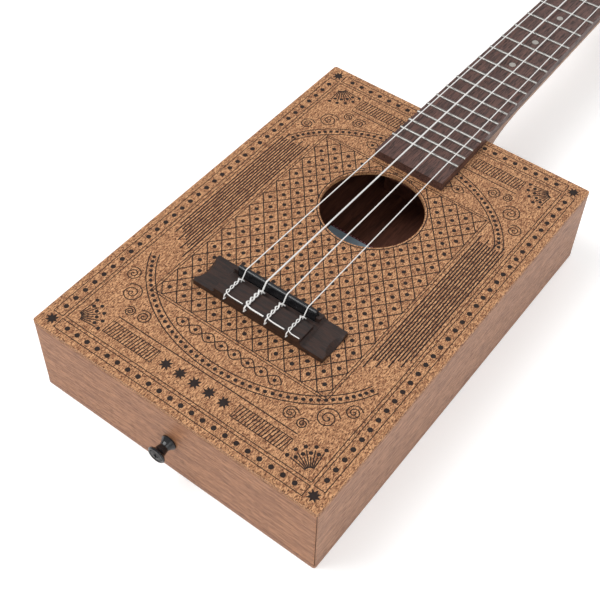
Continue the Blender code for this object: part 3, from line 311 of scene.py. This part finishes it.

# %% [markdown]
# Each CAD node keeps its mesh and takes a finish. The long side boards have their grain along
# the box, and the short ones across it, as boards are sawn. The back board takes a second,
# much darker finish on its inner face, which shows through the sound hole: that darkness is
# painted shade inside the box. Nodes not named in the tables take the same darkened wood.

# %% Dress the CAD nodes
FINISHES = {
    "soundboard": SOUNDBOARD_WOOD, "back": SIDE_ALONG, "side_bass": SIDE_ALONG,
    "side_treble": SIDE_ALONG, "side_tail": SIDE_ACROSS, "side_neck": SIDE_ACROSS,
    "neck": NECK_WOOD, "fretboard": BOARD_WOOD, "bridge": BRIDGE_WOOD, "saddle": BLACK_GLOSS,
    "nut": BLACK_GLOSS, "strap_button": BLACK_GLOSS, "strap_button_screw": BLACK_METAL,
    "label": LABEL_PAPER,
}
STARTS = {
    "string_": NYLON, "marker_": PEARL, "bushing_": NICKEL, "post_": NICKEL, "plate_": NICKEL,
    "worm_": NICKEL, "gear_": BRASS, "knob_": BLACK_GLOSS,
}


def finish_for(name):
    for start, finish in STARTS.items():
        if name.startswith(start):
            return finish
    # Nodes not named take the darker inner wood, whose darkness is painted shade.
    return FINISHES.get(name, INNER_WOOD_PAINTED_SHADE)


for name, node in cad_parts.items():
    node.data.materials.clear()
    node.data.materials.append(finish_for(name))
back_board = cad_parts["back"].data
# The back's upward faces are its inner face; they take the darker inner wood, whose darkness is
# painted shade.
back_board.materials.append(INNER_WOOD_PAINTED_SHADE)
for polygon in back_board.polygons:
    faces_up = polygon.normal.z > 0.5
    polygon.material_index = 1 if faces_up else 0
print("dressed", len(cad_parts), "nodes")

# %% [markdown]
# The soundboard's pattern is burnt into the wood: fine dark lines and dots. They are real
# geometry, a hair proud of the surface. One Geometry Nodes tree draws a flat line along every
# edge of a mesh: it sweeps a ring along the edge and then presses the tube flat.

# %% The line tree
LINE_INPUTS = (("Half Width", 0.0002), ("Flatness", 0.1), ("Level", 0.052))


def line_tree(sides):
    tree = bpy.data.node_groups.new(f"flat_lines_{sides}", "GeometryNodeTree")
    face = tree.interface
    face.new_socket(name="Geometry", in_out="INPUT", socket_type="NodeSocketGeometry")
    number_inputs(face, LINE_INPUTS)
    face.new_socket(name="Finish", in_out="INPUT", socket_type="NodeSocketMaterial")
    face.new_socket(name="Geometry", in_out="OUTPUT", socket_type="NodeSocketGeometry")
    given = add(tree, "NodeGroupInput").outputs
    curve = add(tree, "GeometryNodeMeshToCurve", {"Mesh": given["Geometry"]})
    ring = add(tree, "GeometryNodeCurvePrimitiveCircle", {
        "Resolution": sides, "Radius": given["Half Width"]})
    swept = add(tree, "GeometryNodeCurveToMesh", {
        "Curve": curve.outputs[0], "Profile Curve": ring.outputs["Curve"], "Fill Caps": True})
    place = add(tree, "GeometryNodeInputPosition").outputs[0]
    split = add(tree, "ShaderNodeSeparateXYZ", {"Vector": place}).outputs
    up = math_node(tree, "SUBTRACT", split["Z"], given["Level"])
    low = math_node(tree, "MULTIPLY", up, given["Flatness"])
    height = math_node(tree, "ADD", low, given["Level"])
    flat = add(tree, "ShaderNodeCombineXYZ", {"X": split["X"], "Y": split["Y"], "Z": height})
    moved = add(tree, "GeometryNodeSetPosition", {
        "Geometry": swept.outputs[0], "Position": flat.outputs[0]})
    real = add(tree, "GeometryNodeRealizeInstances", {"Geometry": moved.outputs[0]})
    done = add(tree, "GeometryNodeSetMaterial", {
        "Geometry": real.outputs[0], "Material": given["Finish"]})
    tree.links.new(done.outputs[0], add(tree, "NodeGroupOutput").inputs["Geometry"])
    return tree


LINE_TREE = line_tree(sides=6)
WIRE_TREE = line_tree(sides=14)
print("line trees:", LINE_TREE.name, WIRE_TREE.name)

# %% [markdown]
# Dots could be drawn one by one, but a tree that puts a small disc on every vertex of a guide
# mesh keeps all the sizes in one place. It ends by making the copies real.

# %% The dot tree
DOT_INPUTS = (("Radius", 0.001), ("Thickness", 0.00006))
DOT_SIDES = 12


def dot_tree():
    tree = bpy.data.node_groups.new("flat_dots", "GeometryNodeTree")
    face = tree.interface
    face.new_socket(name="Geometry", in_out="INPUT", socket_type="NodeSocketGeometry")
    number_inputs(face, DOT_INPUTS)
    face.new_socket(name="Finish", in_out="INPUT", socket_type="NodeSocketMaterial")
    face.new_socket(name="Geometry", in_out="OUTPUT", socket_type="NodeSocketGeometry")
    given = add(tree, "NodeGroupInput").outputs
    disc = add(tree, "GeometryNodeMeshCylinder", {
        "Vertices": DOT_SIDES, "Radius": given["Radius"], "Depth": given["Thickness"]})
    spots = add(tree, "GeometryNodeInstanceOnPoints", {
        "Points": given["Geometry"], "Instance": disc.outputs["Mesh"]})
    real = add(tree, "GeometryNodeRealizeInstances", {"Geometry": spots.outputs[0]})
    done = add(tree, "GeometryNodeSetMaterial", {
        "Geometry": real.outputs[0], "Material": given["Finish"]})
    tree.links.new(done.outputs[0], add(tree, "NodeGroupOutput").inputs["Geometry"])
    return tree


DOT_TREE = dot_tree()
print("dot tree:", DOT_TREE.name)

# %% [markdown]
# A tree's result is turned into a plain mesh, because an export keeps meshes and not trees.
# The helper makes the guide mesh, runs the tree, keeps the mesh and lets it ride on the body.
# A drawing gathers polylines, and two more helpers burn its lines and dots into the board.


# %% Grow a piece from a guide mesh
def grow(name, tree, places, edges, slot, **values):
    guide = bpy.data.meshes.new(name + "_guide")
    guide.from_pydata([tuple(part * MM for part in place) for place in places], edges, [])
    source = bpy.data.objects.new(name + "_guide", guide)
    bpy.context.scene.collection.objects.link(source)
    steps = source.modifiers.new("grow", "NODES")
    steps.node_group = tree
    for item in tree.interface.items_tree:
        if item.item_type == "SOCKET" and item.in_out == "INPUT" and item.name in values:
            steps[item.identifier] = values[item.name]
    bpy.context.view_layer.update()
    graph = bpy.context.evaluated_depsgraph_get()
    mesh = bpy.data.meshes.new_from_object(source.evaluated_get(graph))
    bpy.data.objects.remove(source, do_unlink=True)
    piece = bpy.data.objects.new(name, mesh)
    bpy.context.scene.collection.objects.link(piece)
    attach(piece, BODY)
    print(name, "has", len(mesh.polygons), "faces")
    return piece


class Drawing:
    """Polylines at one level, in millimetres, gathered for one line piece."""

    def __init__(self, level):
        self.level = level
        self.places = []
        self.edges = []

    def line(self, points, closed=False):
        start = len(self.places)
        self.places += [(x, y, self.level) for x, y in points]
        last = len(self.places) - 1
        self.edges += [(i, i + 1) for i in range(start, last)]
        if closed:
            self.edges.append((last, start))

    def rectangle(self, low_x, low_y, high_x, high_y):
        self.line([(low_x, low_y), (high_x, low_y), (high_x, high_y), (low_x, high_y)], True)


SURFACE = TOP + 0.01
DOT_LEVEL = TOP + 0.02
DOT_THICKNESS = 0.05


def burn_lines(name, drawing, half_width, flatness=0.12):
    sizes = {"Half Width": half_width * MM, "Flatness": flatness, "Level": SURFACE * MM}
    grow(name, LINE_TREE, drawing.places, drawing.edges, "soundboard", Finish=BURNT, **sizes)


def burn_dots(name, places, radius):
    sizes = {"Radius": radius * MM, "Thickness": DOT_THICKNESS * MM}
    grow(name, DOT_TREE, places, [], "soundboard", Finish=BURNT, **sizes)


print("lines lie at", SURFACE, "mm and dots at", DOT_LEVEL, "mm")

# %% [markdown]
# The border is a narrow strip along each edge: two thin lines with a row of dots between them,
# closed at the ends by short cross lines. One more fine line runs round inside the strips.

# %% The border
STRIP_FROM_SIDE = 7.1
STRIP_FROM_END = 6.6
STRIP_HALF = 3.1
STRIP_END_GAP = 1.2
INNER_LINE_GAP = 1.8
DOT_PITCH = 6.7
STRIP_X = HALF_WIDTH - STRIP_FROM_SIDE
STRIP_Y = HALF_LENGTH - STRIP_FROM_END
INNER_X = STRIP_X - STRIP_HALF - INNER_LINE_GAP
INNER_Y = STRIP_Y - STRIP_HALF - INNER_LINE_GAP


def dot_row(reach):
    count = int(2 * reach // DOT_PITCH)
    return [(i - (count - 1) / 2) * DOT_PITCH for i in range(count)]


border = Drawing(SURFACE)
border_dots = []
for side in (-1, 1):
    low, high = sorted((side * (STRIP_X - STRIP_HALF), side * (STRIP_X + STRIP_HALF)))
    reach = STRIP_Y - STRIP_HALF - STRIP_END_GAP
    border.rectangle(low, -reach, high, reach)
    border_dots += [(side * STRIP_X, along, DOT_LEVEL) for along in dot_row(reach)]
    low, high = sorted((side * (STRIP_Y - STRIP_HALF), side * (STRIP_Y + STRIP_HALF)))
    reach = STRIP_X - STRIP_HALF - STRIP_END_GAP
    border.rectangle(-reach, low, reach, high)
    border_dots += [(along, side * STRIP_Y, DOT_LEVEL) for along in dot_row(reach)]
border.rectangle(-INNER_X, -INNER_Y, INNER_X, INNER_Y)
burn_lines("border_lines", border, half_width=0.32)
burn_dots("border_dots", border_dots, radius=1.4)

# %% [markdown]
# The middle panel is a lattice of diamonds with a dot in each, a very old way to fill a field.
# Every line is x/a + y/b = k or x/a - y/b = k. Each one is walked in short steps, and only the
# steps inside the panel and outside the sound hole are kept.

# %% The lattice
PANEL = (-54.0, -75.3, 54.0, 71.7)
DIAMONDS_ACROSS = 11
DIAMONDS_ALONG = 12.5
PITCH_X = (PANEL[2] - PANEL[0]) / DIAMONDS_ACROSS
PITCH_Y = (PANEL[3] - PANEL[1]) / DIAMONDS_ALONG
HOLE_RING = HOLE_RADIUS + 1.2
FRAME_GAP = 1.4
DOT_MARGIN = 1.6
WALK_STEPS = 400
SHORTEST_RUN = 3
LINE_NUMBERS = range(-14, 26)


def on_panel(x, y, margin=0.0):
    across = PANEL[0] + margin <= x <= PANEL[2] - margin
    along = PANEL[1] + margin <= y <= PANEL[3] - margin
    away = math.hypot(x - HOLE_CENTRE[0], y - HOLE_CENTRE[1])
    return across and along and away > HOLE_RING + margin


def lattice_line(drawing, k, slope):
    run = []
    for i in range(WALK_STEPS + 1):
        x = PANEL[0] + (PANEL[2] - PANEL[0]) * i / WALK_STEPS
        y = PANEL[1] + slope * (k * PITCH_Y - (x - PANEL[0]) / PITCH_X * PITCH_Y)
        if on_panel(x, y):
            run.append((x, y))
        else:
            if len(run) > SHORTEST_RUN:
                drawing.line([run[0], run[-1]])
            run = []
    if len(run) > SHORTEST_RUN:
        drawing.line([run[0], run[-1]])


def ring_points(centre, radius, step=5):
    angles = [math.radians(a) for a in range(0, 360, step)]
    return [(centre[0] + radius * math.cos(a), centre[1] + radius * math.sin(a)) for a in angles]


lattice = Drawing(SURFACE)
for number in LINE_NUMBERS:
    lattice_line(lattice, number + 0.5, 1)
    lattice_line(lattice, number - 0.5, -1)
for gap in (0, FRAME_GAP):
    lattice.rectangle(PANEL[0] - gap, PANEL[1] - gap, PANEL[2] + gap, PANEL[3] + gap)
lattice.line(ring_points(HOLE_CENTRE, HOLE_RING), closed=True)
lattice_dots = []
for row in range(int(2 * DIAMONDS_ALONG) + 2):
    for column in range(2 * DIAMONDS_ACROSS + 2):
        x = PANEL[0] + column * PITCH_X / 2
        y = PANEL[1] + row * PITCH_Y / 2
        if (row + column) % 2 == 0 and on_panel(x, y, DOT_MARGIN):
            lattice_dots.append((x, y, DOT_LEVEL))
burn_lines("lattice_lines", lattice, half_width=0.31)
burn_dots("lattice_dots", lattice_dots, radius=1.2)

# %% [markdown]
# Plain ruled lines of unequal length lie beside the panel. A sine of the line's number makes
# their ends ragged, and gives the same lines each time.

# %% Ruled lines
RULED_COUNT = 11
RULED_X = 57.6
RULED_PITCH = 1.62
RULED_LOW = -50.0
RULED_HIGH = 60.0
RULED_SLANT = 1.2
RAGGED_REACH = 6.0
RAGGED_TURN = 2.1
RAGGED_HIGH_SHARE = 0.8

ruled = Drawing(SURFACE)
for side in (-1, 1):
    for i in range(RULED_COUNT):
        x = side * (RULED_X + i * RULED_PITCH)
        short = RAGGED_REACH * abs(math.sin(i * RAGGED_TURN))
        low = RULED_LOW + short + i * RULED_SLANT
        ruled.line([(x, low), (x, RULED_HIGH - short * RAGGED_HIGH_SHARE)])
print("ruled lines:", len(ruled.edges))

# %% [markdown]
# A beaded double arc closes each end of the field. It is part of an ellipse, and its beads lie
# between the two lines. Each function here draws one ornament at one end, -1 or 1.

# %% Beaded arcs
ARC_CENTRE_Y = 40.0
ARC_HALF_WIDTH = 76.0
ARC_HEIGHT = 57.0
ARC_GAP = 4.8
ARC_ANGLES = range(18, 163, 2)
ARC_BEADS = 46
FIRST_BEAD = 20
BEAD_ANGLE = 3.1

ornament = Drawing(SURFACE)
beads = []


def arc_point(degrees, inwards, end):
    angle = math.radians(degrees)
    x = (ARC_HALF_WIDTH - inwards) * math.cos(angle)
    y = end * (ARC_CENTRE_Y + (ARC_HEIGHT - inwards) * math.sin(angle))
    return (x, y)


def draw_arcs(end):
    for inwards in (ARC_GAP, 0.0):
        ornament.line([arc_point(degrees, inwards, end) for degrees in ARC_ANGLES])
    for i in range(ARC_BEADS):
        beads.append((*arc_point(FIRST_BEAD + i * BEAD_ANGLE, ARC_GAP / 2, end), DOT_LEVEL))


print("the outer arc starts at", arc_point(ARC_ANGLES[0], 0.0, 1))

# %% [markdown]
# Rays fan out from each corner of the inner line, long and short by turns, each with a bead at
# its tip. A hatched bar lies beside them on the end band.

# %% Rays and hatched bars
RAY_INSET = 3.0
RAY_COUNT = 9
FIRST_RAY = 6
RAY_ANGLE = 9.75
RAY_START = 3.0
RAY_LONG = 12.5
RAY_SHORT = 9.0
RAY_BEAD_GAP = 1.8
BAR = (25.0, 102.8, 56.0, 110.8)
HATCH_COUNT = 17
HATCH_INSET = 1.0
HATCH_PITCH = 1.75
HATCH_LEAN = 1.2


def draw_rays(side, end):
    corner = Vector((side * (INNER_X - RAY_INSET), end * (INNER_Y - RAY_INSET)))
    for i in range(RAY_COUNT):
        angle = math.radians(FIRST_RAY + i * RAY_ANGLE)
        length = RAY_LONG if i % 2 == 0 else RAY_SHORT
        ray = Vector((-side * math.cos(angle), -end * math.sin(angle)))
        ornament.line([corner + ray * RAY_START, corner + ray * length])
        beads.append((*(corner + ray * (length + RAY_BEAD_GAP)), DOT_LEVEL))


def draw_bar(side, end):
    low_x, high_x = sorted((side * BAR[0], side * BAR[2]))
    low_y, high_y = sorted((end * BAR[1], end * BAR[3]))
    ornament.rectangle(low_x, low_y, high_x, high_y)
    for i in range(HATCH_COUNT):
        x = low_x + HATCH_INSET + i * HATCH_PITCH
        ornament.line([(x, low_y), (min(x + HATCH_LEAN, high_x), high_y)])


print("the rays of a corner cover", RAY_ANGLE * (RAY_COUNT - 1), "degrees")

# %% [markdown]
# Plain spirals fill the spandrels between the arc and the corners, and two crossing waves with
# a bead in each eye fill the space between the arc and the panel.

# %% Spirals and waves
SPIRALS = ((61.5, 84.0, 6.0), (69.6, 74.0, 4.4), (46.0, 92.2, 4.2), (54.0, 93.5, 3.2))
SPIRAL_STEPS = 48
SPIRAL_ANGLE = 18
BAND_Y = 99.4
BAND_REACH = 56.0
WAVE_Y = 82.2
WAVE_HEIGHT = 2.9
WAVE_REACH = 33
WAVE_EYES = 8
WAVE_TURN = WAVE_EYES * math.pi / (2 * WAVE_REACH)


def spiral_point(x, y, radius, step, turn):
    angle = math.radians(SPIRAL_ANGLE * step)
    away = radius * step / SPIRAL_STEPS
    return (x + away * math.cos(angle) * turn, y + away * math.sin(angle))


def draw_spirals(end):
    for x, y, radius in SPIRALS:
        for side in (-1, 1):
            ornament.line([spiral_point(side * x, end * y, radius, i, side * end)
                           for i in range(SPIRAL_STEPS + 1)])


def draw_waves(end):
    ornament.line([(-BAND_REACH, end * BAND_Y), (BAND_REACH, end * BAND_Y)])
    for phase in (WAVE_HEIGHT, -WAVE_HEIGHT):
        ornament.line([(-WAVE_REACH + i, end * (WAVE_Y + phase * math.sin(i * WAVE_TURN)))
                       for i in range(2 * WAVE_REACH + 1)])
    for i in range(WAVE_EYES):
        beads.append((-WAVE_REACH + (i + 0.5) * math.pi / WAVE_TURN, end * WAVE_Y, DOT_LEVEL))


print("an eye of the wave is", round(2 * WAVE_REACH / WAVE_EYES, 2), "mm long")

# %% Burn the ornaments
for end in (-1, 1):
    draw_arcs(end)
    for side in (-1, 1):
        draw_rays(side, end)
        draw_bar(side, end)
    draw_spirals(end)
    draw_waves(end)
burn_lines("ruled_lines", ruled, half_width=0.4, flatness=0.1)
burn_lines("ornament_lines", ornament, half_width=0.3)
burn_dots("ornament_beads", beads, radius=1.05)

# %% [markdown]
# Stars with eight points mark the corners of the border, and five more lie in a row on the tail
# band. One flat outline with alternating radii, pulled up by a hair, makes each a closed solid.

# %% Stars
STAR_POINTS = 8
STAR_OUTER = 3.7
STAR_INNER = 1.9
STAR_LOW = TOP - 0.02
STAR_HIGH = TOP + 0.05
STAR_ROW_Y = -106.8
STAR_ROW_PITCH = 9.0


def add_star(bm, centre):
    count = 2 * STAR_POINTS
    rim = []
    for i in range(count):
        radius = STAR_OUTER if i % 2 == 0 else STAR_INNER
        angle = 2 * math.pi * i / count
        rim.append((centre[0] + radius * math.cos(angle), centre[1] + radius * math.sin(angle)))
    lower = [bm.verts.new((x * MM, y * MM, STAR_LOW * MM)) for x, y in rim]
    upper = [bm.verts.new((x * MM, y * MM, STAR_HIGH * MM)) for x, y in rim]
    bm.faces.new(reversed(lower))
    bm.faces.new(upper)
    for i in range(count):
        j = (i + 1) % count
        bm.faces.new((lower[i], lower[j], upper[j], upper[i]))


star_centres = [(x * STRIP_X, y * STRIP_Y) for x in (-1, 1) for y in (-1, 1)]
star_centres += [(STAR_ROW_PITCH * i, STAR_ROW_Y) for i in range(-2, 3)]
bm = bmesh.new()
for centre in star_centres:
    add_star(bm, centre)
bmesh.ops.recalc_face_normals(bm, faces=bm.faces)
star_mesh = bpy.data.meshes.new("corner_stars")
bm.to_mesh(star_mesh)
bm.free()
star_mesh.materials.append(BURNT)
stars = bpy.data.objects.new("corner_stars", star_mesh)
bpy.context.scene.collection.objects.link(stars)
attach(stars, BODY)
print(len(star_centres), "stars")

# %% [markdown]
# The CAD has its frets in one solid with the board. Here each gets a metal crown. A fret is a
# wire across the board, so the line tree with a rounder profile makes all of them at once.

# %% Fret wires
FRET_HALF_WIDTH = 0.90
FRET_FLATNESS = 0.99

wires = Drawing(BOARD_TOP)
for number in range(1, FRETS + 1):
    y = fret_y(number)
    share = (y - BOARD_END) / (NUT_Y - BOARD_END)
    half = (BOARD_WIDTHS[0] + (BOARD_WIDTHS[1] - BOARD_WIDTHS[0]) * share) / 2
    wires.line([(-half, y), (half, y)])
wire_sizes = {
    "Half Width": FRET_HALF_WIDTH * MM, "Flatness": FRET_FLATNESS, "Level": BOARD_TOP * MM}
fret_wires = grow("fret_wires", WIRE_TREE, wires.places, wires.edges, "steel",
                  Finish=FRET_METAL, **wire_sizes)
fret_wires.data.shade_smooth()
fret_wires.data.set_sharp_from_angle(angle=math.radians(60))

# %% [markdown]
# A product photograph has a white ground and soft light from above. The floor is a pale sheet,
# and what the camera sees of it is lifted a little, so it stays white and keeps the shadow.

# %% The floor
FLOOR_SIZE = 8.0
FLOOR_LEVEL = -0.2 * MM
FLOOR_LIFT = 0.3


def pale_floor():
    made = bpy.data.materials.new("pale_floor")
    made.use_nodes = True
    tree = made.node_tree
    shader = tree.nodes["Principled BSDF"]
    shader.inputs["Base Color"].default_value = (0.9, 0.9, 0.9, 1)
    shader.inputs["Roughness"].default_value = 0.9
    shader.inputs["Emission Color"].default_value = (1, 1, 1, 1)
    path = add(tree, "ShaderNodeLightPath").outputs
    seen = math_node(tree, "MAXIMUM", path["Is Camera Ray"], path["Is Glossy Ray"])
    lift = math_node(tree, "MULTIPLY", seen, FLOOR_LIFT)
    tree.links.new(lift, shader.inputs["Emission Strength"])
    return made


bpy.ops.mesh.primitive_plane_add(size=FLOOR_SIZE, location=(0, 0, FLOOR_LEVEL))
floor = bpy.context.object
floor.name = "floor"
floor.data.materials.append(pale_floor())
print("floor laid at", FLOOR_LEVEL)

# %% [markdown]
# The world gives an even fill from all round. Where the camera sees it directly it is plain
# white, and everything else gets a weaker share, so the object keeps its shading.

# %% The world
AMBIENT = 0.42


def studio_world():
    world = bpy.data.worlds.new("studio")
    world.use_nodes = True
    tree = world.node_tree
    path = add(tree, "ShaderNodeLightPath").outputs
    seen = math_node(tree, "MULTIPLY", path["Is Camera Ray"], 1.0 - AMBIENT)
    ground = tree.nodes["Background"]
    ground.inputs["Color"].default_value = (1, 1, 1, 1)
    tree.links.new(math_node(tree, "ADD", AMBIENT, seen), ground.inputs["Strength"])
    return world


bpy.context.scene.world = studio_world()
print("world", bpy.context.scene.world.name)

# %% [markdown]
# Three large square lamps stand in for a photographer's soft boxes: the key on the bass side,
# a fill on the treble side and a back lamp past the headstock. Large lamps give soft shadows.


# %% Lamps
def soft_lamp(name, place, aim, size, power):
    data = bpy.data.lights.new(name, "AREA")
    data.size = size
    data.energy = power
    lamp = bpy.data.objects.new(name, data)
    lamp.location = place
    lamp.rotation_euler = (Vector(aim) - Vector(place)).to_track_quat("-Z", "Y").to_euler()
    bpy.context.scene.collection.objects.link(lamp)


soft_lamp("key", (-0.7, -0.5, 1.5), aim=(0, 0.05, 0.03), size=0.9, power=16.0)
soft_lamp("fill", (1.2, -0.8, 0.9), aim=(0, 0, 0.03), size=1.2, power=9.0)
soft_lamp("back", (0.2, 1.5, 1.2), aim=(0, 0.1, 0.03), size=1.0, power=8.0)
print("lamps set")

# %% [markdown]
# The camera stands at the photograph's angle: above the tail's treble corner, looking down
# along the strings, with the headstock out of the frame.

# %% Camera
lens = bpy.data.cameras.new("camera")
lens.sensor_width = 36.0
lens.lens = 65.741
lens.shift_x = -0.03
lens.shift_y = -0.03
camera = bpy.data.objects.new("camera", lens)
camera.location = (0.21664, -0.32033, 0.47898)
camera.rotation_euler = (0.7073, -0.02986, 0.64155)
bpy.context.scene.collection.objects.link(camera)
bpy.context.scene.camera = camera
bpy.context.scene.view_settings.view_transform = "Standard"
print("camera lens", lens.lens, "mm")

# %% Update the scene
bpy.context.view_layer.update()
